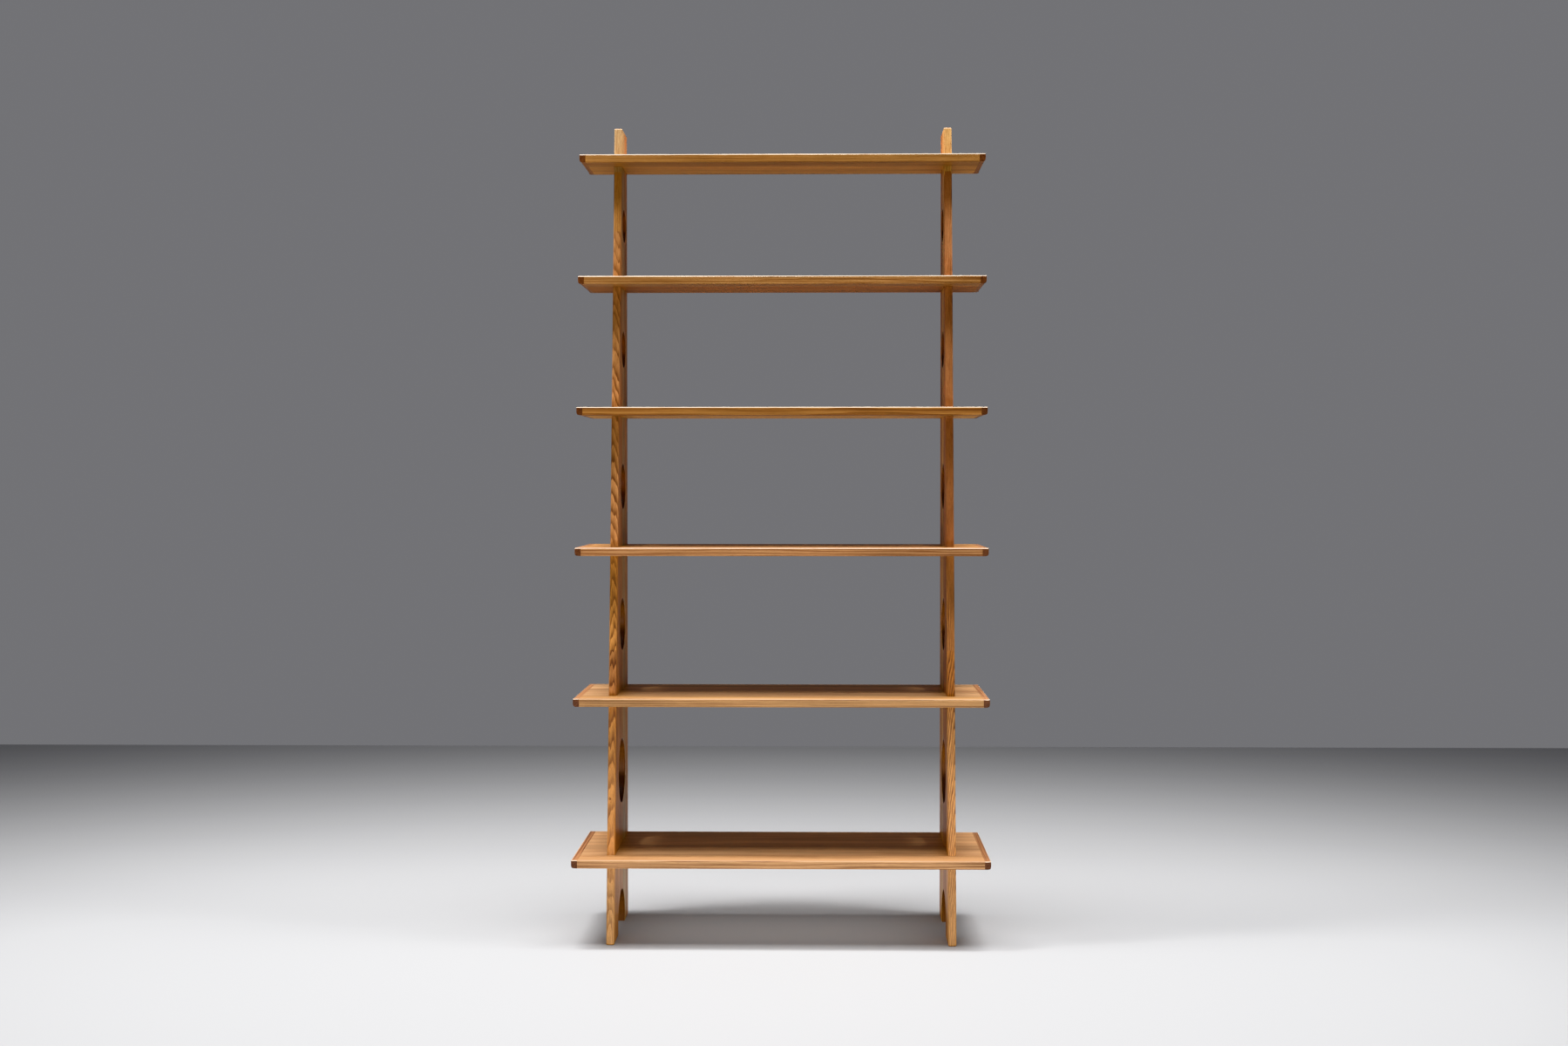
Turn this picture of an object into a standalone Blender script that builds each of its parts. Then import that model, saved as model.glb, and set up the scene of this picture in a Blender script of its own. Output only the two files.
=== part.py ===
"""Open bookcase of two tapering, pierced uprights and six cross-lapped shelves.

Metres, +Z up. X runs along the shelves and -Y is the front. The origin is on the floor, under
the middle of the whole piece. Every shelf is slotted from its rear edge and every upright is
notched from its front edge, and the two slide together as an egg crate does.
"""
import math

import bmesh
import bpy

# Shelves
shelf_length = 1.025
board_thickness = 0.020
bottom_shelf_depth = 0.410
top_shelf_depth = 0.205
end_overhang = 0.081
front_overhang = 0.070
batten_width = 0.015
batten_underside_radius = 0.010
shelf_arris = 0.002

# Heights, from the floor to a shelf's top face and between a shelf and the one above it
bottom_shelf_height = 0.218
bottom_bay_height = 0.370
bay_height_step = 0.020
horn_height = 0.079

# Round holes in the uprights, one in each bay, from the lowest bay up
hole_1_diameter = 0.160
hole_2_diameter = 0.130
hole_3_diameter = 0.112
hole_4_diameter = 0.090
hole_5_diameter = 0.080
hole_diameters = (hole_1_diameter, hole_2_diameter, hole_3_diameter, hole_4_diameter, hole_5_diameter)

# How far the middles of two of the holes lie below the middle of their bay
hole_2_drop = 0.006
hole_3_drop = 0.013
hole_drops = (0, hole_2_drop, hole_3_drop, 0, 0)

# Uprights and their feet
upright_arris = 0.0035
arch_radius = 0.084
arch_leg_height = 0.014
rear_foot_depth = 0.090
notch_depth_share = 0.5

# Tongues cut on the shelf boards and front strips
tongue_thickness_share = 0.32
tongue_length_share = 0.5
tongue_setback = 0.012

# Clearance between touching pieces, length of a cut past the face it leaves, and facets
fit_gap = 0.0003
overrun = 0.010
arris_segments = 3
facet_length = 0.0105
least_facets = 12
sharp_angle = math.radians(35)

# Sizes that follow from the ones above
bay_count = len(hole_diameters)
bay_heights = [bottom_bay_height - bay_height_step * bay for bay in range(bay_count)]
shelf_heights = [bottom_shelf_height + sum(bay_heights[:shelf]) + board_thickness * shelf
                 for shelf in range(bay_count + 1)]
total_height = shelf_heights[-1] + horn_height
depth_slope = (top_shelf_depth - bottom_shelf_depth) / (shelf_heights[-1] - shelf_heights[0])
back_y = bottom_shelf_depth / 2
upright_x = shelf_length / 2 - end_overhang - board_thickness / 2
half_thickness = board_thickness / 2
tongue_thickness = board_thickness * tongue_thickness_share
tongue_length = batten_width * tongue_length_share
panel_end = shelf_length / 2 - batten_width - fit_gap


def shelf_depth(height):
    """Depth of a shelf at a height, on the straight line from the bottom shelf to the top one."""
    return bottom_shelf_depth + depth_slope * (height - shelf_heights[0])


def upright_depth(height):
    """Depth of an upright at a height, from its upright rear edge to its sloping front edge."""
    return shelf_depth(height) - front_overhang


def linear(value):
    """Linear light of one 8-bit colour value."""
    share = value / 255
    return share / 12.92 if share <= 0.04045 else ((share + 0.055) / 1.055) ** 2.4


def wood(name, red, green, blue, roughness):
    """Principled material of one wood tone, from its 8-bit colour."""
    material = bpy.data.materials.new(name)
    material.use_nodes = True
    shader = material.node_tree.nodes["Principled BSDF"]
    shader.inputs["Base Color"].default_value = (linear(red), linear(green), linear(blue), 1)
    shader.inputs["Roughness"].default_value = roughness
    shader.inputs["Metallic"].default_value = 0
    return material


def empty(name, location, parent=None):
    """Empty that carries one sub-assembly."""
    holder = bpy.data.objects.new(name, None)
    holder.location = location
    holder.parent = parent
    bpy.context.collection.objects.link(holder)
    return holder


def place(name, bm, parent, material=None):
    """Turn a bmesh into a named object under its parent."""
    bmesh.ops.recalc_face_normals(bm, faces=bm.faces)
    mesh = bpy.data.meshes.new(name)
    bm.to_mesh(mesh)
    bm.free()
    piece = bpy.data.objects.new(name, mesh)
    piece.parent = parent
    if material:
        mesh.materials.append(material)
    bpy.context.collection.objects.link(piece)
    return piece


def add_box(bm, low, high):
    """Box between two corners."""
    made = bmesh.ops.create_cube(bm, size=1)["verts"]
    for vert in made:
        for axis in range(3):
            vert.co[axis] = high[axis] if vert.co[axis] > 0 else low[axis]


def add_plate(bm, outline, push):
    """Plate made by pushing a flat outline along a vector."""
    face = bm.faces.new([bm.verts.new(point) for point in outline])
    pushed = bmesh.ops.extrude_face_region(bm, geom=[face])["geom"]
    moved = [item for item in pushed if isinstance(item, bmesh.types.BMVert)]
    bmesh.ops.translate(bm, verts=moved, vec=push)


def round_edges(piece, radius, chosen):
    """Bevel modifier on the edges for which chosen gives a radius, each to its own radius."""
    bm = bmesh.new()
    bm.from_mesh(piece.data)
    weight = bm.edges.layers.float.new("bevel_weight_edge")
    for edge in bm.edges:
        first, second = (vert.co for vert in edge.verts)
        edge[weight] = min(chosen(first, second) / radius, 1)
    bm.to_mesh(piece.data)
    bm.free()
    bevel = piece.modifiers.new("rounded edges", "BEVEL")
    bevel.limit_method = "WEIGHT"
    bevel.width = radius
    bevel.segments = arris_segments


def combine(piece, operand, operation):
    """Boolean modifier whose operand stays in the file as a hidden guide."""
    operand.hide_render = True
    operand.display_type = "WIRE"
    step = piece.modifiers.new(operand.name, "BOOLEAN")
    step.operation = operation
    step.solver = "EXACT"
    step.object = operand


def smooth(piece):
    """Smooth shading on rounded stretches, with the flat faces' edges kept sharp."""
    piece.data.shade_smooth()
    piece.data.set_sharp_from_angle(angle=sharp_angle)


def flare_rings():
    """Places across an upright's thickness, each with how far an opening's rim widens there."""
    quarter = [math.pi / 2 * step / arris_segments for step in range(arris_segments)]
    half = [(half_thickness - upright_arris * (1 - math.sin(angle)), upright_arris * (1 - math.cos(angle)))
            for angle in quarter]
    last_across, last_widening = half[-1]
    slope = (upright_arris - last_widening) / (half_thickness - last_across)
    half.append((half_thickness + overrun, upright_arris + overrun * slope))
    mirrored = [(-across, widening) for across, widening in reversed(half)]
    return mirrored + half


def add_opening_cutter(bm, outline):
    """Cutter with rounded rims, lofted through outline(widening) at each place across the thickness."""
    rings = []
    for across, widening in flare_rings():
        ring = [bm.verts.new((across, y, z)) for y, z in outline(widening)]
        rings.append([bm.edges.new(pair) for pair in zip(ring, ring[1:] + ring[:1])])
        if len(rings) > 1:
            bmesh.ops.bridge_loops(bm, edges=rings[-2] + rings[-1])
    for ring in (rings[0], rings[-1]):
        bmesh.ops.contextual_create(bm, geom=ring)


def hole_outline(radius, y, z):
    """Function that gives a round hole's outline, widened by a given amount."""
    count = max(least_facets, round(math.tau * radius / facet_length))

    def outline(widening):
        angles = [math.tau * step / count for step in range(count)]
        return [(y + (radius + widening) * math.cos(angle), z + (radius + widening) * math.sin(angle))
                for angle in angles]

    return outline


def arch_outline(y):
    """Function that gives the foot arch's outline: a half circle on two short straight legs."""
    count = max(least_facets, round(math.pi * arch_radius / facet_length))

    def outline(widening):
        wide = arch_radius + widening
        angles = [math.pi * step / count for step in range(count + 1)]
        arc = [(y + wide * math.cos(angle), arch_leg_height + wide * math.sin(angle)) for angle in angles]
        return arc + [(y - wide, -overrun), (y + wide, -overrun)]

    return outline


def upright_blank(bm):
    """Tapering board with a vertical rear edge and a straight sloping front edge."""
    outline = [(-half_thickness, 0, 0),
               (-half_thickness, -upright_depth(0), 0),
               (-half_thickness, -upright_depth(total_height), total_height),
               (-half_thickness, 0, total_height)]
    add_plate(bm, outline, (board_thickness, 0, 0))


def upright_openings(bm):
    """Cutters of the five round holes, one in each bay, and of the foot arch."""
    for bay, (diameter, drop) in enumerate(zip(hole_diameters, hole_drops)):
        z = shelf_heights[bay] + bay_heights[bay] / 2 - drop
        add_opening_cutter(bm, hole_outline(diameter / 2, -upright_depth(z) / 2, z))
    add_opening_cutter(bm, arch_outline(-rear_foot_depth - arch_radius))


def slot_front(height):
    """Where a shelf's slots end and an upright's notch ends, measured from the rear edge."""
    return -upright_depth(height) * (1 - notch_depth_share)


def upright_notches(bm):
    """Cutters of the six notches, each open at the front edge and one shelf high."""
    for height in shelf_heights:
        low = (-half_thickness - overrun, -bottom_shelf_depth, height - board_thickness - fit_gap)
        high = (half_thickness + overrun, slot_front(height), height + fit_gap)
        add_box(bm, low, high)


def build_upright(side, sign, parent, material):
    """One upright with its rounded arrises, holes, foot arch and notches."""
    carrier = empty(f"{side}_side", (sign * upright_x, back_y, 0), parent)
    blank = bmesh.new()
    upright_blank(blank)
    upright = place(f"{side}_upright", blank, carrier, material)
    round_edges(upright, upright_arris, lambda first, second: upright_arris)
    for label, fill in (("openings", upright_openings), ("notches", upright_notches)):
        shape = bmesh.new()
        fill(shape)
        combine(upright, place(f"{side}_{label}", shape, carrier), "DIFFERENCE")
    smooth(upright)


def build_board(name, depth, slot_end, parent, material):
    """Main panel of a shelf, with its two slots and the tongues on its front and ends."""
    front = front_overhang - depth + fit_gap
    outline = [(-panel_end, 0, -board_thickness), (-panel_end, front, -board_thickness),
               (panel_end, front, -board_thickness), (panel_end, 0, -board_thickness)]
    half_slot = half_thickness + fit_gap
    for x in (upright_x, -upright_x):
        for place_x, place_y in ((x + half_slot, 0), (x + half_slot, slot_end - fit_gap),
                                 (x - half_slot, slot_end - fit_gap), (x - half_slot, 0)):
            outline.append((place_x, place_y, -board_thickness))
    panel = bmesh.new()
    add_plate(panel, outline, (0, 0, board_thickness))
    board = place(f"{name}_board", panel, parent, material)

    def rear_arris(first, second):
        return shelf_arris if first.y == second.y == 0 and first.z == second.z else 0

    round_edges(board, shelf_arris, rear_arris)
    tongues = bmesh.new()
    low_z = -half_thickness - tongue_thickness / 2
    high_z = -half_thickness + tongue_thickness / 2
    side = panel_end - tongue_setback
    add_box(tongues, (-side, front - tongue_length, low_z), (side, front + tongue_length, high_z))
    for sign in (-1, 1):
        ends = sorted((sign * (panel_end - tongue_length), sign * (panel_end + tongue_length)))
        add_box(tongues, (ends[0], front + tongue_setback, low_z), (ends[1], -tongue_setback, high_z))
    combine(board, place(f"{name}_board_tongues", tongues, parent), "UNION")
    smooth(board)


def groove_cutters(name, depth, parent):
    """Cutters of the groove along the front strip and of the stopped grooves in both battens."""
    grooves = bmesh.new()
    low_z = -half_thickness - tongue_thickness / 2 - fit_gap
    high_z = -half_thickness + tongue_thickness / 2 + fit_gap
    rear = front_overhang - depth
    add_box(grooves, (-panel_end - fit_gap / 2, rear - tongue_length, low_z),
            (panel_end + fit_gap / 2, rear + fit_gap / 2, high_z))
    for sign in (-1, 1):
        ends = sorted((sign * (panel_end + fit_gap / 2), sign * (panel_end + fit_gap + tongue_length)))
        add_box(grooves, (ends[0], tongue_setback - depth - fit_gap, low_z),
                (ends[1], fit_gap - tongue_setback, high_z))
    return place(f"{name}_grooves", grooves, parent)


def build_front_strip(name, depth, grooves, parent, material):
    """Strip glued in front of the uprights, with rounded front arrises, a groove and end tongues."""
    strip_bm = bmesh.new()
    add_box(strip_bm, (-panel_end, -depth, -board_thickness), (panel_end, front_overhang - depth, 0))
    strip = place(f"{name}_front_strip", strip_bm, parent, material)

    def front_arris(first, second):
        return shelf_arris if max(first.y, second.y) < -depth + shelf_arris and first.z == second.z else 0

    round_edges(strip, shelf_arris, front_arris)
    combine(strip, grooves, "DIFFERENCE")
    tongues = bmesh.new()
    for sign in (-1, 1):
        ends = sorted((sign * (panel_end - tongue_length), sign * (panel_end + tongue_length)))
        add_box(tongues, (ends[0], tongue_setback - depth, -half_thickness - tongue_thickness / 2),
                (ends[1], front_overhang - depth - 2 * tongue_length, -half_thickness + tongue_thickness / 2))
    combine(strip, place(f"{name}_strip_tongues", tongues, parent), "UNION")
    smooth(strip)


def build_battens(name, depth, grooves, parent, material):
    """Cross-grain battens on both ends of a shelf, each with a well rounded lower outer edge."""
    for side, sign in (("left", -1), ("right", 1)):
        inner, outer = sign * (shelf_length / 2 - batten_width), sign * shelf_length / 2
        batten_bm = bmesh.new()
        add_box(batten_bm, (min(inner, outer), -depth, -board_thickness), (max(inner, outer), 0, 0))
        batten = place(f"{name}_{side}_batten", batten_bm, parent, material)

        def batten_edges(first, second):
            middle = (first + second) / 2
            if first.x == second.x and abs(middle.x) < abs(inner + outer) / 2:
                return 0
            if first.z == second.z < -half_thickness and first.x == second.x:
                return batten_underside_radius
            return shelf_arris

        round_edges(batten, batten_underside_radius, batten_edges)
        combine(batten, grooves, "DIFFERENCE")
        smooth(batten)


def build_shelf(number, height, parent, materials):
    """One shelf: board, front strip and two end battens, carried by an empty on its rear edge."""
    name = f"shelf_{number}"
    depth = shelf_depth(height)
    carrier = empty(name, (0, back_y, height), parent)
    build_board(name, depth, slot_front(height), carrier, materials["board"])
    grooves = groove_cutters(name, depth, carrier)
    build_front_strip(name, depth, grooves, carrier, materials["strip"])
    build_battens(name, depth, grooves, carrier, materials["batten"])


def build_bookcase():
    """Clear the scene and build both uprights and all the shelves."""
    for old in list(bpy.data.objects):
        bpy.data.objects.remove(old, do_unlink=True)
    materials = {"upright": wood("upright_wood", 176, 116, 66, 0.52),
                 "board": wood("board_wood", 205, 150, 98, 0.50),
                 "strip": wood("strip_wood", 214, 158, 104, 0.50),
                 "batten": wood("batten_wood", 168, 102, 62, 0.55)}
    root = empty("bookcase", (0, 0, 0))
    for side, sign in (("left", -1), ("right", 1)):
        build_upright(side, sign, root, materials["upright"])
    for number, height in enumerate(shelf_heights, start=1):
        build_shelf(number, height, root, materials)


build_bookcase()
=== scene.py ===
"""Looks of the open bookcase: finely rounded boards in oiled growth-ring wood on a pale studio floor.

Metres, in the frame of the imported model: X along the shelves, -Y to the front, +Z up.
"""
import logging
import math
import random
from collections.abc import Callable, Iterable, Sequence
from dataclasses import dataclass, field, replace
from enum import Enum

import bmesh
import bpy
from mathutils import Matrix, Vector


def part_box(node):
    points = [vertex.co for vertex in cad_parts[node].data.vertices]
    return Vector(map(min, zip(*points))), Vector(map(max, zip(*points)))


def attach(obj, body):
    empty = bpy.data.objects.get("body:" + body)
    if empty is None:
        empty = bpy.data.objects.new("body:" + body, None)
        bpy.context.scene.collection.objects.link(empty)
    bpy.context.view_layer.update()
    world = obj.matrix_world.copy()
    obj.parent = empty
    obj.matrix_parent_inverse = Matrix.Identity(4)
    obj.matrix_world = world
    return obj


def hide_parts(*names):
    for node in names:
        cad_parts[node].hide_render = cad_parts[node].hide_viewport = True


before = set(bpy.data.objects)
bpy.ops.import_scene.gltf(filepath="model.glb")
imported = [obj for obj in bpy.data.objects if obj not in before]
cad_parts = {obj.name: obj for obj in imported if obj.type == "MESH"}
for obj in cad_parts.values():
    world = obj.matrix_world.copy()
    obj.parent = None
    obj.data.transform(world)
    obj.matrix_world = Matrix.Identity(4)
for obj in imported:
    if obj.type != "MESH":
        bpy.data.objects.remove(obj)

LOG = logging.getLogger("bookcase")
BODY = "root"
Colour = tuple[float, float, float]
Point = tuple[float, float, float]
Span = tuple[float, float]
Box = tuple[Vector, Vector]
Outline = Callable[[float], list[tuple[float, float]]]
Socket = bpy.types.NodeSocket
Sockets = bpy.types.bpy_prop_collection


def tone(red: int, green: int, blue: int) -> Colour:
    """Linear colour from an 8-bit one, by the standard curve of screen colours.

    Args:
        red: Red, 0 to 255.
        green: Green, 0 to 255.
        blue: Blue, 0 to 255.

    Returns:
        The three channels in linear light.
    """
    shares = [value / 255 for value in (red, green, blue)]
    return tuple(share / 12.92 if share <= 0.04045 else ((share + 0.055) / 1.055) ** 2.4
                 for share in shares)


class Side(Enum):
    """Side of the bookcase, seen from the front."""

    LEFT = "left"
    RIGHT = "right"


class Grain(Enum):
    """Way the grain of a board runs, as the order (along, across, through) of the three axes."""

    ALONG_SHELF = (0, 1, 2)
    FRONT_TO_BACK = (1, 0, 2)
    UPWARD = (2, 1, 0)


class Graph:
    """Short calls that wire the nodes of one material.

    The Mix node keeps its colours and its vectors on sockets of their own, which these numbers name.
    """

    COLOUR_INPUTS = (6, 7)
    COLOUR_OUTPUT = 2
    VECTOR_INPUTS = (4, 5)
    VECTOR_OUTPUT = 1
    SEED_SKEW = 0.7

    def __init__(self, material: bpy.types.Material) -> None:
        """Start from an empty node tree.

        Args:
            material: Material whose nodes are made.
        """
        material.use_nodes = True
        self.tree = material.node_tree
        self.tree.nodes.clear()

    def add(self, kind: str, inputs: dict | None = None, **settings: object) -> bpy.types.Node:
        """Add a node, fill its inputs and set its options.

        Args:
            kind: Node type without its ShaderNode prefix.
            inputs: Values or sockets by input name or number.
            settings: Node properties.

        Returns:
            The node.
        """
        node = self.tree.nodes.new("ShaderNode" + kind)
        for name, value in settings.items():
            setattr(node, name, value)
        for key, value in (inputs or {}).items():
            if isinstance(value, Socket):
                self.tree.links.new(value, node.inputs[key])
            else:
                node.inputs[key].default_value = value
        return node

    def calc(self, operation: str, *values: object, clamp: bool = False) -> Socket:
        """Result of a Math node on up to three numbers or sockets.

        Args:
            operation: Operation of the node.
            values: Numbers or sockets that it works on.
            clamp: Whether the result is held between 0 and 1.

        Returns:
            The result.
        """
        inputs = dict(enumerate(values))
        return self.add("Math", inputs, operation=operation, use_clamp=clamp).outputs[0]

    def square(self, value: Socket) -> Socket:
        """Value multiplied by itself."""
        return self.calc("MULTIPLY", value, value)

    def split(self, vector: Socket) -> Sockets:
        """The three numbers of a vector."""
        return self.add("SeparateXYZ", {0: vector}).outputs

    def join(self, *numbers: object) -> Socket:
        """Vector of up to three numbers or sockets."""
        return self.add("CombineXYZ", dict(enumerate(numbers))).outputs[0]

    def distance(self, place: Socket, centre: Point) -> Socket:
        """Distance of each place from a centre."""
        return self.add("VectorMath", {0: place, 1: centre}, operation="DISTANCE").outputs["Value"]

    def spread(self, value: Socket, low: float, high: float,
               to_low: float = 0, to_high: float = 1) -> Socket:
        """Smooth step of a value from one range to another.

        Args:
            value: Value to step.
            low: Where the step starts.
            high: Where it ends.
            to_low: Result at and below the start.
            to_high: Result at and above the end.

        Returns:
            The stepped value.
        """
        inputs = {0: value, 1: low, 2: high, 3: to_low, 4: to_high}
        return self.add("MapRange", inputs, interpolation_type="SMOOTHSTEP").outputs[0]

    def blend(self, share: object, first: object, second: object, mode: str = "MIX") -> Socket:
        """Mix of two colours.

        Args:
            share: Share of the second colour.
            first: First colour or socket.
            second: Second colour or socket.
            mode: Blend mode.

        Returns:
            The mixed colour.
        """
        node = self.add("Mix", {0: share}, data_type="RGBA", blend_type=mode)
        for number, value in zip(self.COLOUR_INPUTS, (first, second)):
            if isinstance(value, Socket):
                self.tree.links.new(value, node.inputs[number])
            else:
                node.inputs[number].default_value = (*value, 1)
        return node.outputs[self.COLOUR_OUTPUT]

    def tinted(self, share: Socket, colour: Socket, tint: Colour) -> Socket:
        """Colour multiplied by a tint, as far as a share says."""
        return self.blend(share, colour, tint, "MULTIPLY")

    def shaded(self, colour: Socket, level: Socket) -> Socket:
        """Colour multiplied by a level."""
        return self.blend(1.0, colour, self.join(level, level, level), "MULTIPLY")

    def choose(self, share: Socket, first: Socket, second: Point) -> Socket:
        """Mix of two vectors, whose numbers may be negative."""
        inputs = {0: share, **dict(zip(self.VECTOR_INPUTS, (first, second)))}
        return self.add("Mix", inputs, data_type="VECTOR").outputs[self.VECTOR_OUTPUT]

    def stretched(self, vector: Socket, rates: Point, seed: float) -> Socket:
        """Coordinates multiplied by a rate on each axis and moved by a seed."""
        inputs = {0: vector, 1: rates, 2: (seed, seed * self.SEED_SKEW, -seed)}
        return self.add("VectorMath", inputs, operation="MULTIPLY_ADD").outputs[0]

    def noise(self, vector: Socket, detail: float, roughness: float = 0.5, output: str = "Fac") -> Socket:
        """Noise of unit scale at the given coordinates.

        Args:
            vector: Coordinates.
            detail: Octaves beyond the first.
            roughness: Strength of each octave beside the last.
            output: Fac for a number, or Color for three.

        Returns:
            The noise.
        """
        inputs = {"Vector": vector, "Scale": 1.0, "Detail": detail, "Roughness": roughness}
        return self.add("TexNoise", inputs).outputs[output]

    def ramp(self, value: Socket, stops: Sequence[tuple[float, float]]) -> Socket:
        """Grey level that follows a value through chosen stops.

        Args:
            value: Value between 0 and 1.
            stops: Pairs of place and level.

        Returns:
            The level.
        """
        node = self.add("ValToRGB", {0: value})
        marks = node.color_ramp.elements
        while len(marks) < len(stops):
            marks.new(1.0)
        for mark, (place, level) in zip(marks, stops):
            mark.position = place
            mark.color = (level, level, level, 1)
        return node.outputs[0]


@dataclass(frozen=True)
class Figure:
    """Irregular figure of the wood: noise drawn out along the grain.

    Attributes:
        rates: How fast it varies along, across and through the board, per metre.
        shift: Added to the board's seed, so that no two figures match.
        detail: Octaves beyond the first.
        roughness: Strength of each octave beside the last.
    """

    rates: Point
    shift: float
    detail: float = 2
    roughness: float = 0.5


@dataclass(frozen=True)
class Stave:
    """One of the laths that a board is glued from.

    Attributes:
        start: Where it starts across the grain, in metres.
        pith: Where the middle of its tree passes, across and through the board, in metres.
        ring_width: Mean width of a growth ring in metres.
        early: Colour of its light spring wood.
        late: Colour of its dark summer wood.
        lean: How far the pith shifts across the board per metre along it, in metres.
    """

    start: float
    pith: tuple[float, float]
    ring_width: float
    early: Colour
    late: Colour
    lean: float = 0.0


@dataclass(frozen=True)
class Knot:
    """Small knot that the rings bend around.

    Attributes:
        place: Centre in metres.
        size: Radius of its dark eye in metres.
    """

    place: Point
    size: float


@dataclass(frozen=True)
class Opening:
    """Round opening whose wall gets painted shade, and whose rim may be rubbed pale by hands.

    Attributes:
        place: Centre along Y and Z, in metres.
        radius: Radius in metres.
        rubbed: Whether hands rub its rim; such an opening's wall also gets darker painted shade below its
            middle.
    """

    place: tuple[float, float]
    radius: float
    rubbed: bool


@dataclass(frozen=True)
class OiledWood:
    """Solid wood with growth rings round a pith line, finished with oil.

    Attributes:
        grain: Way the grain runs.
        slot: Material slot of the record; not used.
        seed: Number that sets every irregular detail apart.
        staves: Laths of the board in the order of their start.
        wave: How far rings wander along the board, in metres.
        streakiness: Strength of the long dark streaks.
        arris_wear_and_highlight: How pale the upper arrises are painted, from 0 to 1, partly as oil worn off
            them and partly as a painted highlight.
        patina: Strength of the pale scuffs and dark smears on the broad faces, from 0 to 1; it also sets
            where the broad faces get painted light.
        broad_face_light: Painted light: how much lighter the broad faces are than the edges, as a factor.
        openings: Round openings through the broad faces.
        knots: Knots in the board.
    """

    grain: Grain
    slot: str
    seed: float
    staves: tuple[Stave, ...]
    wave: float = 0.006
    streakiness: float = 0.6
    arris_wear_and_highlight: float = 0.8
    patina: float = 0.0
    broad_face_light: float = 1.0
    openings: tuple[Opening, ...] = ()
    knots: tuple[Knot, ...] = ()

    def material(self, name: str) -> bpy.types.Material:
        """Make the material.

        Args:
            name: Name of the material.

        Returns:
            The material.
        """
        made = bpy.data.materials.new(name)
        WoodNodes(self, Graph(made)).build()
        return made


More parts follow.
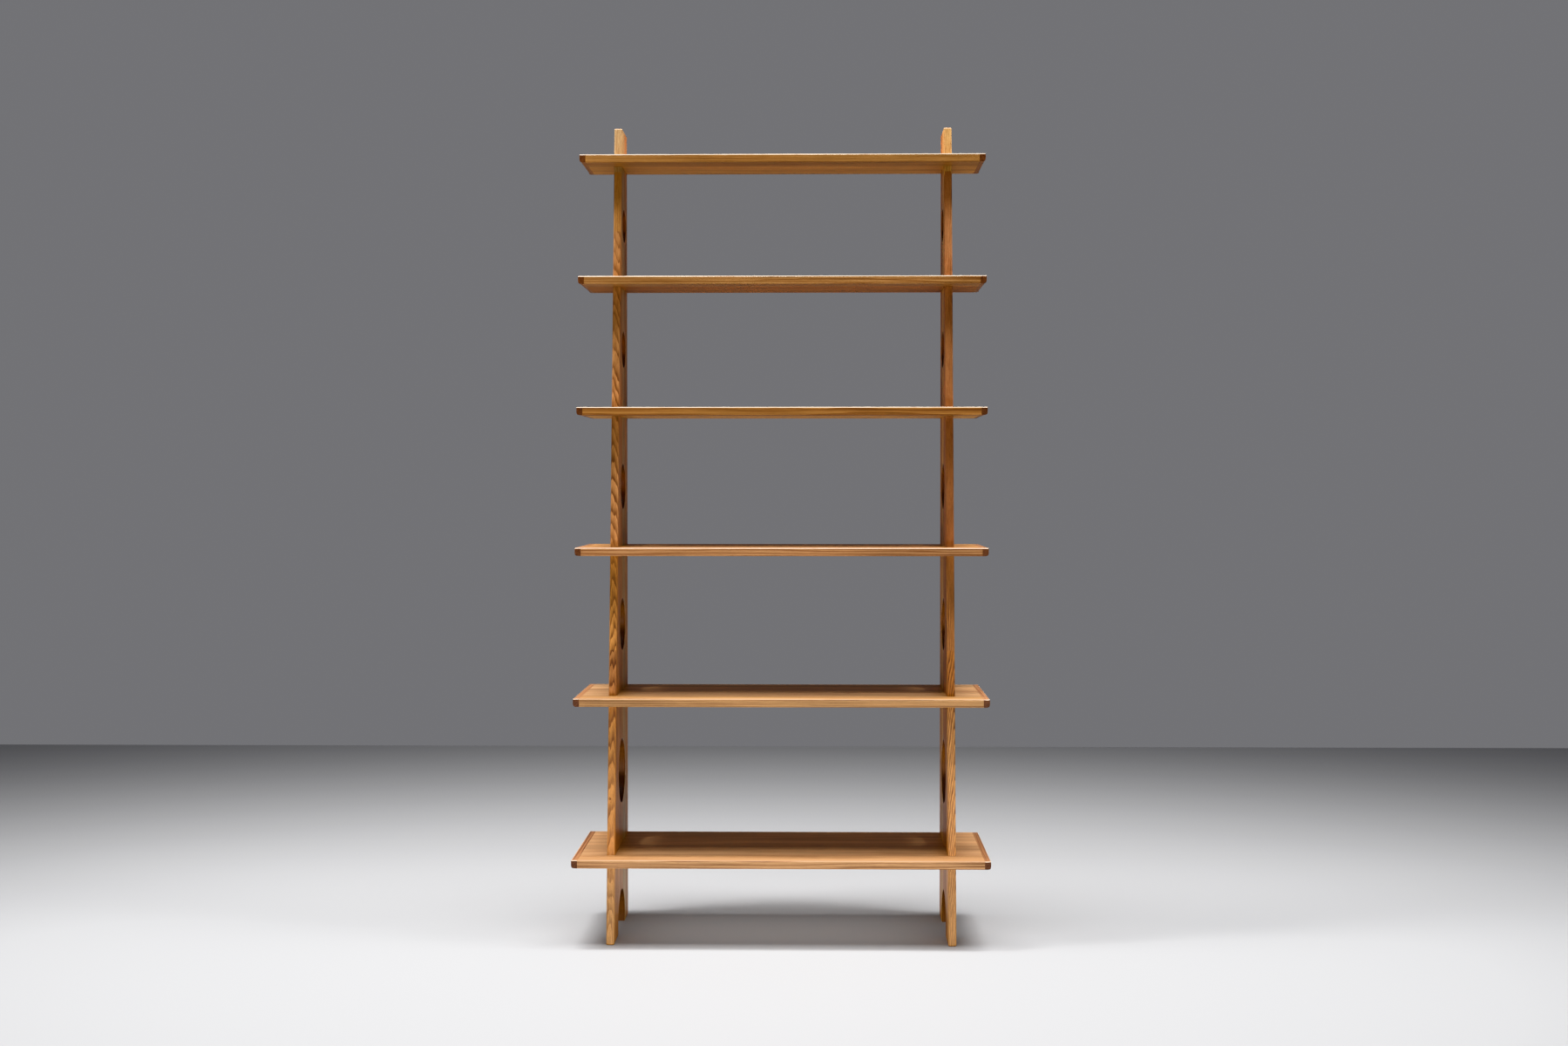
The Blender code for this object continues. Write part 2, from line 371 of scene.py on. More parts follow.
class WoodNodes:
    """Nodes that draw one board in its oiled wood.

    A constant that ends in SPAN is where a smooth step starts and ends. One that ends in STEP also
    holds what the step gives at either end.
    """

    # Surface of the oiled wood; relief is how much of the bump is due to rings and to fibres
    ROUGHNESS = 0.46
    ROUGHNESS_RANGE = 0.16
    SPECULAR = 0.3
    RING_RELIEF = 0.35
    FIBRE_RELIEF = 0.65
    BUMP_STRENGTH = 0.35
    BUMP_DEPTH = 0.0004

    # Growth rings: share of dark wood through one year, and how bends and uneven years shift them
    RING_PROFILE = ((0.0, 0.0), (0.05, 0.9), (0.16, 1.0), (0.34, 0.66),
                    (0.60, 0.28), (0.86, 0.06), (1.0, 0.0))
    WANDER = Figure((1.3, 8, 8), 0)
    BENDS = Figure((3, 85, 85), 61)
    BENDING = 0.006
    UNEVEN_RATE = 70.0
    UNEVEN_DETAIL = 1
    UNEVENNESS = 0.007
    STRENGTH = Figure((2.2, 26, 26), 5)
    STRENGTH_STEP = (0.3, 0.7, 0.45, 1.0)

    # Knots: the dark eye, and how far out and by how many rings the grain bends round it
    KNOT = tone(88, 46, 22)
    KNOT_DARKNESS = 0.8
    KNOT_CORE = 0.2
    KNOT_REACH = 2.6
    KNOT_BENDING = 0.5

    # Fibres, long dark streaks, pores and cloudy patches
    FIBRE = Figure((26, 950, 950), 0, 3, 0.62)
    FIBRE_STEP = (0.3, 0.7, 0.82, 1.10)
    STREAK = tone(150, 104, 70)
    STREAKS = Figure((1.1, 240, 240), 11, 3, 0.6)
    STREAK_SPAN = (0.46, 0.66)
    PORE = tone(120, 84, 60)
    PORES = Figure((90, 1900, 1900), 3, 1)
    PORE_STEP = (0.66, 0.74, 0.0, 0.35)
    PATCHES = Figure((2.6, 30, 30), 17)
    PATCH_STEP = (0.3, 0.7, 0.84, 1.10)

    # End grain; upper arrises painted pale, partly as worn oil and partly as a painted highlight; an arris
    # shows where the surface tilts between two faces
    END_GRAIN = tone(174, 153, 138)
    END_SPAN = (0.55, 0.85)
    ARRIS_HIGHLIGHT_AND_WEAR = tone(244, 226, 200)
    ARRIS_SPAN = (0.06, 0.22)
    UPWARD_SPAN = (0.0, 0.3)
    SCRATCHES = Figure((18, 60, 60), 29, 4, 0.65)
    SCRATCH_SPAN = (0.3, 0.6)
    LEAST_HIGHLIGHT_AND_WEAR = 0.5

    # Broad faces after long use; the veil is how far their rings still show
    BROAD_SPAN = (0.8, 0.95)
    VEIL = 0.4
    SMEAR = tone(184, 158, 138)
    SMEARS = Figure((12, 34, 34), 41, 5, 0.6)
    SMEAR_STEP = (0.40, 0.66, 0.0, 0.8)
    WORN = tone(205, 178, 150)
    SCUFFS = Figure((16, 60, 60), 53, 5, 0.7)
    SCUFF_STEP = (0.54, 0.68, 0.0, 0.35)

    # Openings, with reaches beyond their radius in metres: painted shade on their walls, and darker painted
    # shade on the wall's foot, which starts at the middle and is full this share of the radius below it
    OPENING_WALL_SHADE = tone(160, 128, 104)
    WALL_SHADE_SPAN = (0.0008, 0.0028)
    OPENING_FOOT_SHADE = tone(120, 92, 74)
    FOOT_SHADE_DEPTH = 0.4
    RUB_SPAN = (0.002, 0.016)
    RUB_STEP = (0.52, 0.62, 0.0, 0.75)

    def __init__(self, wood: OiledWood, graph: Graph) -> None:
        """Read where each point lies on the board and how its surface faces.

        Args:
            wood: Finish that is drawn.
            graph: Graph of the finish's material.
        """
        self.wood = wood
        self.graph = graph
        coords = graph.add("TexCoord").outputs
        self.place = coords["Object"]
        parts = graph.split(self.place)
        self.along, self.across, self.through = (parts[axis] for axis in wood.grain.value)
        self.board = graph.join(self.along, self.across, self.through)
        facing = graph.split(coords["Normal"])
        self.endward, self.upward = facing[wood.grain.value[0]], facing[2]
        self.broad = graph.square(facing[wood.grain.value[2]])

    def build(self) -> None:
        """Wire the wood's colour, roughness and relief to the output of the material."""
        graph = self.graph
        late_share = self.rings()
        if self.wood.patina:
            veil = graph.spread(self.broad, *self.BROAD_SPAN, 1.0, self.VEIL)
            late_share = graph.calc("MULTIPLY", late_share, veil)
        colour = graph.blend(late_share, self.by_stave(lambda stave: stave.early),
                             self.by_stave(lambda stave: stave.late))
        fibre = self.figure(self.FIBRE)
        colour = self.on_faces(self.weathered(colour, fibre))
        for knot in self.wood.knots:
            gap = graph.distance(self.place, knot.place)
            eye = graph.spread(gap, knot.size * self.KNOT_CORE, knot.size, self.KNOT_DARKNESS, 0.0)
            colour = graph.blend(eye, colour, self.KNOT)
        smoothest = self.ROUGHNESS - self.ROUGHNESS_RANGE / 2
        rough = graph.calc("MULTIPLY_ADD", fibre, self.ROUGHNESS_RANGE, smoothest)
        fibre_relief = graph.calc("MULTIPLY", fibre, self.FIBRE_RELIEF)
        relief = graph.calc("MULTIPLY_ADD", late_share, self.RING_RELIEF, fibre_relief)
        bump = graph.add("Bump", {"Height": relief, "Strength": self.BUMP_STRENGTH,
                                  "Distance": self.BUMP_DEPTH}).outputs[0]
        shader = graph.add("BsdfPrincipled", {"Base Color": colour, "Roughness": rough, "Normal": bump,
                                              "Specular IOR Level": self.SPECULAR})
        graph.add("OutputMaterial", {0: shader.outputs[0]})

    def figure(self, kind: Figure, output: str = "Fac") -> Socket:
        """Noise of one of the figures, as a number or, from the output Color, as three."""
        vector = self.graph.stretched(self.board, kind.rates, self.wood.seed + kind.shift)
        return self.graph.noise(vector, kind.detail, kind.roughness, output)

    def stepped(self, kind: Figure, step: Sequence[float]) -> Socket:
        """Noise of one of the figures, through a smooth step."""
        return self.graph.spread(self.figure(kind), *step)

    def by_stave(self, chosen: Callable[[Stave], Point]) -> Socket:
        """Three numbers that change from stave to stave.

        Args:
            chosen: Gives the numbers of a stave.

        Returns:
            The numbers as a colour or vector.
        """
        value = self.graph.join(*chosen(self.wood.staves[0]))
        for stave in self.wood.staves[1:]:
            beyond = self.graph.calc("GREATER_THAN", self.across, stave.start)
            value = self.graph.choose(beyond, value, chosen(stave))
        return value

    def rings(self) -> Socket:
        """Growth rings round the pith of each stave, bent round the knots.

        Returns:
            Share of dark summer wood, between 0 and 1.
        """
        graph = self.graph
        settings = self.by_stave(lambda stave: (*stave.pith, 1 / stave.ring_width))
        pith_start, pith_through, rings_per_metre = graph.split(settings)
        lean = graph.split(self.by_stave(lambda stave: (stave.lean, 0, 0)))[0]
        pith_across = graph.calc("MULTIPLY_ADD", self.along, lean, pith_start)
        drift = graph.add("SeparateColor", {0: self.figure(self.WANDER, "Color")}).outputs
        axes = ((self.across, pith_across, drift[0]), (self.through, pith_through, drift[1]))
        squares = []
        for coordinate, pith, wander in axes:
            swing = graph.calc("MULTIPLY", graph.calc("SUBTRACT", wander, 0.5), self.wood.wave * 2)
            squares.append(graph.square(graph.calc("ADD", graph.calc("SUBTRACT", coordinate, pith), swing)))
        straight = graph.calc("SQRT", graph.calc("ADD", *squares))
        radius = graph.calc("MULTIPLY_ADD", self.figure(self.BENDS), self.BENDING, straight)
        years = graph.join(graph.calc("MULTIPLY", radius, self.UNEVEN_RATE), self.wood.seed)
        uneven = graph.noise(years, self.UNEVEN_DETAIL)
        grown = graph.calc("MULTIPLY_ADD", uneven, self.UNEVENNESS, radius)
        ring = graph.calc("MULTIPLY", grown, rings_per_metre)
        for knot in self.wood.knots:
            near = graph.calc("DIVIDE", graph.distance(self.place, knot.place), knot.size * self.KNOT_REACH)
            bell = graph.calc("POWER", math.e, graph.calc("MULTIPLY", graph.square(near), -1.0))
            ring = graph.calc("MULTIPLY_ADD", bell, self.KNOT_BENDING, ring)
        profile = graph.ramp(graph.calc("FRACT", ring), self.RING_PROFILE)
        return graph.calc("MULTIPLY", profile, self.stepped(self.STRENGTH, self.STRENGTH_STEP), clamp=True)

    def weathered(self, colour: Socket, fibre: Socket) -> Socket:
        """Colour with fibres, long dark streaks, pores and cloudy patches.

        Args:
            colour: Colour of the rings.
            fibre: Fine fibre noise.

        Returns:
            The colour.
        """
        graph = self.graph
        colour = graph.shaded(colour, graph.spread(fibre, *self.FIBRE_STEP))
        streaks = self.stepped(self.STREAKS, self.STREAK_SPAN)
        colour = graph.tinted(graph.calc("MULTIPLY", streaks, self.wood.streakiness), colour, self.STREAK)
        colour = graph.tinted(self.stepped(self.PORES, self.PORE_STEP), colour, self.PORE)
        return graph.shaded(colour, self.stepped(self.PATCHES, self.PATCH_STEP))

    def on_faces(self, colour: Socket) -> Socket:
        """Colour darkened on end grain, given painted shade in openings, painted pale on upper arrises as
        worn oil and painted highlight, and worn pale where hands rub.

        Args:
            colour: Colour so far.

        Returns:
            The colour.
        """
        graph = self.graph
        end = graph.spread(graph.calc("ABSOLUTE", self.endward), *self.END_SPAN)
        colour = graph.tinted(end, colour, self.END_GRAIN)
        tilt = graph.calc("MULTIPLY", self.broad, graph.calc("SUBTRACT", 1.0, self.broad))
        # Painted highlight with worn oil: upward-facing arrises are blended towards a pale tone
        upper = graph.calc("MULTIPLY", graph.spread(tilt, *self.ARRIS_SPAN),
                           graph.spread(self.upward, *self.UPWARD_SPAN))
        scratches = self.figure(self.SCRATCHES)
        most = self.wood.arris_wear_and_highlight
        pale_arris_share = graph.spread(scratches, *self.SCRATCH_SPAN, self.LEAST_HIGHLIGHT_AND_WEAR * most, most)
        colour = graph.blend(graph.calc("MULTIPLY", upper, pale_arris_share), colour, self.ARRIS_HIGHLIGHT_AND_WEAR)
        if self.wood.patina:
            colour = self.aged(colour)
        if self.wood.openings:
            colour = self.in_openings(colour, scratches)
        return colour

    def aged(self, colour: Socket) -> Socket:
        """Colour with the dark smears and pale scuffs of long use on the broad faces, and painted light that
        makes them lighter than the edges.

        Args:
            colour: Colour so far.

        Returns:
            The colour.
        """
        graph, patina = self.graph, self.wood.patina
        share = graph.spread(self.broad, *self.BROAD_SPAN, 0.0, patina)
        # Painted light: broad faces made lighter than the edges
        colour = graph.shaded(colour, graph.spread(share, 0.0, patina, 1.0, self.wood.broad_face_light))
        smears = graph.calc("MULTIPLY", share, self.stepped(self.SMEARS, self.SMEAR_STEP))
        colour = graph.tinted(smears, colour, self.SMEAR)
        scuffs = graph.calc("MULTIPLY", share, self.stepped(self.SCUFFS, self.SCUFF_STEP))
        return graph.blend(scuffs, colour, self.WORN)

    def in_openings(self, colour: Socket, scratches: Socket) -> Socket:
        """Colour with painted shade on the walls of the openings, darker below the middle of a rubbed one,
        and rubbed pale round their rims.

        Args:
            colour: Colour so far.
            scratches: Noise that breaks up the rubbed places.

        Returns:
            The colour.
        """
        graph = self.graph
        side_view = graph.stretched(self.place, (0, 1, 1), 0)
        height = graph.split(side_view)[2]
        for opening in self.wood.openings:
            middle = opening.place[1]
            gap = graph.distance(side_view, (0, *opening.place))
            inside = graph.spread(gap, *(opening.radius + reach for reach in self.WALL_SHADE_SPAN), 1.0, 0.0)
            # Painted shade on the wall of the opening
            colour = graph.tinted(inside, colour, self.OPENING_WALL_SHADE)
            if opening.rubbed:
                # Darker painted shade on the wall below its middle
                foot = graph.spread(height, middle - opening.radius * self.FOOT_SHADE_DEPTH, middle, 1.0, 0.0)
                colour = graph.tinted(graph.calc("MULTIPLY", inside, foot), colour, self.OPENING_FOOT_SHADE)
                near = graph.spread(gap, *(opening.radius + reach for reach in self.RUB_SPAN), 1.0, 0.0)
                rubbed = graph.calc("MULTIPLY", near, graph.spread(scratches, *self.RUB_STEP))
                outside = graph.calc("SUBTRACT", 1.0, inside)
                colour = graph.blend(graph.calc("MULTIPLY", rubbed, outside), colour, self.WORN)
        return colour


def polygon_object(name: str, bm: bmesh.types.BMesh) -> bpy.types.Object:
    """Object made from a finished bmesh.

    Args:
        name: Name of the object.
        bm: Mesh under construction, freed here.

    Returns:
        The object, linked to the scene.
    """
    bmesh.ops.recalc_face_normals(bm, faces=bm.faces)
    mesh = bpy.data.meshes.new(name)
    bm.to_mesh(mesh)
    bm.free()
    piece = bpy.data.objects.new(name, mesh)
    bpy.context.scene.collection.objects.link(piece)
    return piece


def add_box(bm: bmesh.types.BMesh, low: Sequence[float], high: Sequence[float]) -> None:
    """Add a box between two corners.

    Args:
        bm: Mesh to add to.
        low: Lowest corner.
        high: Highest corner.
    """
    for vert in bmesh.ops.create_cube(bm, size=1)["verts"]:
        vert.co = Vector([high[axis] if vert.co[axis] > 0 else low[axis] for axis in range(3)])


def baked(piece: bpy.types.Object, helpers: Iterable[bpy.types.Object] = ()) -> bpy.types.Object:
    """Apply a piece's modifiers and remove the helpers that they used.

    Args:
        piece: Object with modifiers.
        helpers: Objects that only the modifiers needed.

    Returns:
        The same object, with its final mesh.
    """
    bpy.context.view_layer.update()
    final = bpy.data.meshes.new_from_object(piece.evaluated_get(bpy.context.evaluated_depsgraph_get()))
    piece.modifiers.clear()
    piece.data = final
    for helper in helpers:
        bpy.data.objects.remove(helper, do_unlink=True)
    return piece


def shelf_box(number: int) -> Box:
    """Box of a whole shelf, from its two end battens.

    Args:
        number: Number of the shelf, from 1 at the bottom.

    Returns:
        Its lowest and highest corners in metres.
    """
    left_low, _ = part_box(f"shelf_{number}_left_batten")
    _, right_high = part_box(f"shelf_{number}_right_batten")
    return left_low, right_high


@dataclass(frozen=True)
class Joinery:
    """Ways of shaping and dressing that all the wooden pieces share.

    Attributes:
        segments: Facets across a rounded edge.
        crisp_angle: Angle above which an edge stays crisp, in radians.
        flatness: How far the large faces rule the shading of the small ones, from 1 to 100.
        fit_gap: Clearance between neighbouring pieces in metres.
        notch_share: Share of an upright's depth that a shelf's notch takes.
    """

    segments: int = 5
    crisp_angle: float = math.radians(30)
    flatness: int = 100
    fit_gap: float = 0.0003
    notch_share: float = 0.5

    def round_edges(self, piece: bpy.types.Object, radius: float,
                    chosen: Callable[[Vector, Vector], float]) -> None:
        """Round chosen edges of a piece, each to its own radius.

        Args:
            piece: Object to round.
            radius: Largest radius in metres.
            chosen: Gives the radius of an edge from its two ends.
        """
        bm = bmesh.new()
        bm.from_mesh(piece.data)
        weight = bm.edges.layers.float.new("bevel_weight_edge")
        for edge in bm.edges:
            edge[weight] = min(chosen(edge.verts[0].co, edge.verts[1].co) / radius, 1.0)
        bm.to_mesh(piece.data)
        bm.free()
        bevel = piece.modifiers.new("rounding", "BEVEL")
        bevel.limit_method = "WEIGHT"
        bevel.width = radius
        bevel.segments = self.segments

    def cut(self, piece: bpy.types.Object, cutter: bpy.types.Object) -> None:
        """Cut a piece with another object.

        Args:
            piece: Object that is cut.
            cutter: Object whose inside is taken away.
        """
        step = piece.modifiers.new("cut", "BOOLEAN")
        step.operation = "DIFFERENCE"
        step.solver = "EXACT"
        step.object = cutter

    def finish(self, piece: bpy.types.Object, wood: OiledWood, node: str) -> None:
        """Shade a piece, give it its wood and let it stand for its node of the frame.

        Args:
            piece: Finished mesh object.
            wood: Finish of the piece.
            node: Node of the frame that it replaces.
        """
        piece.data.shade_smooth()
        piece.data.set_sharp_from_angle(angle=self.crisp_angle)
        flat = piece.modifiers.new("flat faces", "WEIGHTED_NORMAL")
        flat.keep_sharp = True
        flat.weight = self.flatness
        piece.data.materials.clear()
        piece.data.materials.append(wood.material(f"{node}_wood"))
        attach(piece, BODY)
        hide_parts(node)
        LOG.info("made %s with %d faces", piece.name, len(piece.data.polygons))


@dataclass
class Upright:
    """Tapering side board with round holes, a foot arch and a notch for every shelf.

    Attributes:
        side: Side that it stands on.
        wood: Finish of the board.
        joinery: Shared ways of shaping.
        holes: Diameters of the round holes from the lowest up, in metres.
        hole_drops: How far each hole's middle lies below the middle of its bay, in metres.
        arris: Radius of its rounded edges in metres.
        arch_radius: Radius of the foot arch in metres.
        arch_leg: Height of the arch's straight legs in metres.
        rear_foot: Depth of the rear foot in metres.
        hole_facets: Facets round a hole.
        overrun: How far a cut passes the face it leaves, in metres.
        node: Node of the frame that it replaces.
        low: Lowest corner of its box.
        high: Highest corner of its box.
        shelves: Boxes of the shelves from the lowest up.
    """

    side: Side
    wood: OiledWood
    joinery: Joinery
    holes: tuple[float, ...] = (0.160, 0.130, 0.112, 0.090, 0.080)
    hole_drops: tuple[float, ...] = (0, 0.006, 0.013, 0, 0)
    arris: float = 0.0035
    arch_radius: float = 0.084
    arch_leg: float = 0.014
    rear_foot: float = 0.090
    hole_facets: int = 96
    overrun: float = 0.010
    node: str = field(init=False)
    low: Vector = field(init=False)
    high: Vector = field(init=False)
    shelves: list[Box] = field(init=False)

    def __post_init__(self) -> None:
        """Read the board's box and the shelves' boxes from the frame."""
        self.node = f"{self.side.value}_upright"
        self.low, self.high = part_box(self.node)
        self.shelves = [shelf_box(number) for number in range(1, len(self.holes) + 2)]

    def front(self, height: float) -> float:
        """Where the sloping front edge stands at a height.

        It runs along the rear faces of the front strips, from the lowest shelf's to the highest's.

        Args:
            height: Height above the floor in metres.

        Returns:
            The place along Y in metres.
        """
        foot, top = (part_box(f"shelf_{number}_front_strip")[1] for number in (1, len(self.shelves)))
        share = (height - foot.z) / (top.z - foot.z)
        return foot.y + share * (top.y - foot.y)

    def rims(self) -> list[tuple[float, float]]:
        """Shape of an opening's rounded rims.

        Returns:
            Places across the thickness, each with how far the opening widens there, in metres.
        """
        half = (self.high.x - self.low.x) / 2
        turns = [math.pi / 2 * step / self.joinery.segments for step in range(self.joinery.segments)]
        right = [(half - self.arris * (1 - math.sin(turn)), self.arris * (1 - math.cos(turn)))
                 for turn in turns]
        slope = (self.arris - right[-1][1]) / (half - right[-1][0])
        right.append((half + self.overrun, self.arris + self.overrun * slope))
        return [(-across, wider) for across, wider in reversed(right)] + right

    def add_cutter(self, bm: bmesh.types.BMesh, outline: Outline) -> None:
        """Add a cutter with rounded rims.

        Args:
            bm: Mesh to add to.
            outline: Gives the opening's outline in Y and Z, widened by a given amount.
        """
        middle = (self.low.x + self.high.x) / 2
        rings = []
        for across, wider in self.rims():
            ring = [bm.verts.new((middle + across, y, z)) for y, z in outline(wider)]
            rings.append([bm.edges.new(pair) for pair in zip(ring, ring[1:] + ring[:1])])
            if len(rings) > 1:
                bmesh.ops.bridge_loops(bm, edges=rings[-2] + rings[-1])
        for ring in (rings[0], rings[-1]):
            bmesh.ops.contextual_create(bm, geom=ring)

    def hole(self, diameter: float, y: float, z: float) -> Outline:
        """Outline of a round hole, as a function of how far it is widened.

        Args:
            diameter: Diameter in metres.
            y: Place of its middle along Y in metres.
            z: Height of its middle in metres.

        Returns:
            The function.
        """
        turns = [math.tau * step / self.hole_facets for step in range(self.hole_facets)]

        def outline(wider: float) -> list[tuple[float, float]]:
            """Points of the circle, widened by a given amount."""
            radius = diameter / 2 + wider
            return [(y + radius * math.cos(turn), z + radius * math.sin(turn)) for turn in turns]

        return outline

    def arch(self) -> Outline:
        """Outline of the foot arch, as a function of how far it is widened.

        Returns:
            The function.
        """
        y = self.arch_middle()
        half_facets = self.hole_facets // 2
        turns = [math.pi * step / half_facets for step in range(half_facets + 1)]

        def outline(wider: float) -> list[tuple[float, float]]:
            """Points of the half circle and of the ends of its legs.

            Args:
                wider: How far the outline is widened, in metres.

            Returns:
                Places along Y and Z in metres.
            """
            radius = self.arch_radius + wider
            arc = [(y + radius * math.cos(turn), self.arch_leg + radius * math.sin(turn)) for turn in turns]
            return arc + [(y - radius, -self.overrun), (y + radius, -self.overrun)]

        return outline

    def hole_places(self) -> Iterable[tuple[float, float, float]]:
        """Find where the holes lie, near the middles of their bays.

        Returns:
            Diameter of each hole and its place in Y and Z, in metres, from the lowest up.
        """
        bays = zip(self.shelves, self.shelves[1:])
        for diameter, drop, (below, above) in zip(self.holes, self.hole_drops, bays):
            z = (below[1].z + above[0].z) / 2 - drop
            yield diameter, (self.front(z) + self.high.y) / 2, z

    def arch_middle(self) -> float:
        """Place of the foot arch's middle along Y."""
        return self.high.y - self.rear_foot - self.arch_radius

    def finished_openings(self) -> tuple[Opening, ...]:
        """Openings as the finish needs them: the holes, which hands rub, and the foot arch."""
        holes = tuple(Opening((y, z), diameter / 2, True) for diameter, y, z in self.hole_places())
        return holes + (Opening((self.arch_middle(), self.arch_leg), self.arch_radius, False),)

    def openings(self) -> bpy.types.Object:
        """Make the cutter of the holes and of the foot arch.

        Returns:
            The cutter.
        """
        bm = bmesh.new()
        for diameter, y, z in self.hole_places():
            self.add_cutter(bm, self.hole(diameter, y, z))
        self.add_cutter(bm, self.arch())
        return polygon_object(f"{self.side.value}_openings", bm)

    def notches(self) -> bpy.types.Object:
        """Make the cutter of the notches that the shelves slide into.

        Returns:
            The cutter.
        """
        bm = bmesh.new()
        gap = self.joinery.fit_gap
        for low, high in self.shelves:
            end = self.high.y - (self.high.y - self.front(high.z)) * (1 - self.joinery.notch_share)
            add_box(bm, (self.low.x - self.overrun, low.y - self.overrun, low.z - gap),
                    (self.high.x + self.overrun, end, high.z + gap))
        return polygon_object(f"{self.side.value}_notches", bm)

    def build(self) -> None:
        """Make the board and dress it."""
        bm = bmesh.new()
        outline = [(self.high.y, self.low.z), (self.front(self.low.z), self.low.z),
                   (self.front(self.high.z), self.high.z), (self.high.y, self.high.z)]
        face = bm.faces.new([bm.verts.new((self.low.x, y, z)) for y, z in outline])
        pushed = bmesh.ops.extrude_face_region(bm, geom=[face])["geom"]
        moved = [item for item in pushed if isinstance(item, bmesh.types.BMVert)]
        bmesh.ops.translate(bm, verts=moved, vec=(self.high.x - self.low.x, 0, 0))
        piece = polygon_object(f"{self.node}_board", bm)
        self.joinery.round_edges(piece, self.arris, lambda first, second: self.arris)
        cutters = [self.openings(), self.notches()]
        for cutter in cutters:
            self.joinery.cut(piece, cutter)
        baked(piece, cutters)
        self.joinery.finish(piece, replace(self.wood, openings=self.finished_openings()), self.node)


@dataclass
class Shelf:
    """Shelf of a slotted board, a front strip and two cross-grain end battens.

    Attributes:
        number: Number of the shelf, from 1 at the bottom.
        board_wood: Finish of the board.
        strip_wood: Finish of the front strip.
        batten_woods: Finish of the batten on each side.
        joinery: Shared ways of shaping.
        arris: Radius of the rounded front edges in metres.
        underside_radius: Radius of the battens' lower outer edges in metres.
        low: Lowest corner of its box.
        high: Highest corner of its box.
        board_end: Half the length of the board and the strip, between the battens, in metres.
        strip_rear: Place of the front strip's rear face along Y, in metres.
    """

    number: int
    board_wood: OiledWood
    strip_wood: OiledWood
    batten_woods: dict[Side, OiledWood]
    joinery: Joinery
    arris: float = 0.002
    underside_radius: float = 0.010
    low: Vector = field(init=False)
    high: Vector = field(init=False)
    board_end: float = field(init=False)
    strip_rear: float = field(init=False)

    def __post_init__(self) -> None:
        """Read the shelf's places from the frame."""
        self.low, self.high = shelf_box(self.number)
        self.board_end = -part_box(f"shelf_{self.number}_left_batten")[1].x - self.joinery.fit_gap
        self.strip_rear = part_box(f"shelf_{self.number}_front_strip")[1].y

    def block(self, name: str, low: Sequence[float], high: Sequence[float]) -> bpy.types.Object:
        """Plain block between two corners, to be shaped further.

        Args:
            name: Name of the block.
            low: Lowest corner.
            high: Highest corner.

        Returns:
            The block.
        """
        bm = bmesh.new()
        add_box(bm, low, high)
        return polygon_object(name, bm)

    def board(self) -> None:
        """Make the board with its two slots and its softened rear edges."""
        node = f"shelf_{self.number}_board"
        gap = self.joinery.fit_gap
        piece = self.block(f"{node}_panel", (-self.board_end, self.strip_rear + gap, self.low.z),
                           (self.board_end, self.high.y, self.high.z))

        def rear(first: Vector, second: Vector) -> float:
            """Radius of the long rear edges, and none elsewhere."""
            behind = min(first.y, second.y) > self.high.y - gap
            return self.arris if behind and first.z == second.z else 0.0

        self.joinery.round_edges(piece, self.arris, rear)
        bm = bmesh.new()
        slot_end = self.high.y - (self.high.y - self.strip_rear) * (1 - self.joinery.notch_share) - gap
        for side in Side:
            side_low, side_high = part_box(f"{side.value}_upright")
            add_box(bm, (side_low.x - gap, slot_end, self.low.z - self.arris),
                    (side_high.x + gap, self.high.y + self.arris, self.high.z + self.arris))
        slots = polygon_object(f"{node}_slots", bm)
        self.joinery.cut(piece, slots)
        baked(piece, [slots])
        self.joinery.finish(piece, self.board_wood, node)

    def front_strip(self) -> None:
        """Make the front strip with its rounded front edges."""
        node = f"shelf_{self.number}_front_strip"
        piece = self.block(f"{node}_lip", (-self.board_end, self.low.y, self.low.z),
                           (self.board_end, self.strip_rear, self.high.z))

        def front(first: Vector, second: Vector) -> float:
            """Radius of the long front edges, and none elsewhere."""
            ahead = max(first.y, second.y) < self.low.y + self.arris
            return self.arris if ahead and first.z == second.z else 0.0

        self.joinery.round_edges(piece, self.arris, front)
        self.joinery.finish(baked(piece), self.strip_wood, node)

    def batten(self, side: Side) -> None:
        """Make an end batten with its well rounded lower outer edge.

        Args:
            side: Side of the bookcase.
        """
        node = f"shelf_{self.number}_{side.value}_batten"
        low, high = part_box(node)
        inner_x = min(abs(low.x), abs(high.x))
        middle_z = (low.z + high.z) / 2
        piece = self.block(f"{node}_strip", low, high)

        def edges(first: Vector, second: Vector) -> float:
            """Radius of an edge from where it runs.

            Args:
                first: One end of the edge.
                second: Its other end.

            Returns:
                The radius in metres.
            """
            if first.x == second.x and abs(first.x) < inner_x + self.arris:
                return 0.0
            if first.z == second.z < middle_z and first.x == second.x:
                return self.underside_radius
            return self.arris

        self.joinery.round_edges(piece, self.underside_radius, edges)
        self.joinery.finish(baked(piece), self.batten_woods[side], node)

    def build(self) -> None:
        """Make and dress all four pieces of the shelf."""
        self.board()
        self.front_strip()
        for side in Side:
            self.batten(side)


@dataclass(frozen=True)
class SoftLight:
    """Rectangular light that the camera doesn't see.

    Attributes:
        name: Name of the light.
        place: Where it hangs, in metres.
        target: Point it faces, in metres.
        size: Its width and height in metres.
        power: Its power in watts.
        spread: Angle over which it shines, in radians.
    """

    name: str
    place: Point
    target: Point
    size: tuple[float, float]
    power: float
    spread: float = math.radians(100)

    def hang(self) -> None:
        """Add the light to the scene."""
        lamp = bpy.data.lights.new(self.name, "AREA")
        lamp.shape = "RECTANGLE"
        lamp.size, lamp.size_y = self.size
        lamp.energy = self.power
        lamp.spread = self.spread
        holder = bpy.data.objects.new(self.name, lamp)
        holder.visible_camera = False
        holder.location = self.place
        aim = Vector(self.target) - Vector(self.place)
        holder.rotation_euler = aim.to_track_quat("-Z", "Y").to_euler()
        bpy.context.scene.collection.objects.link(holder)


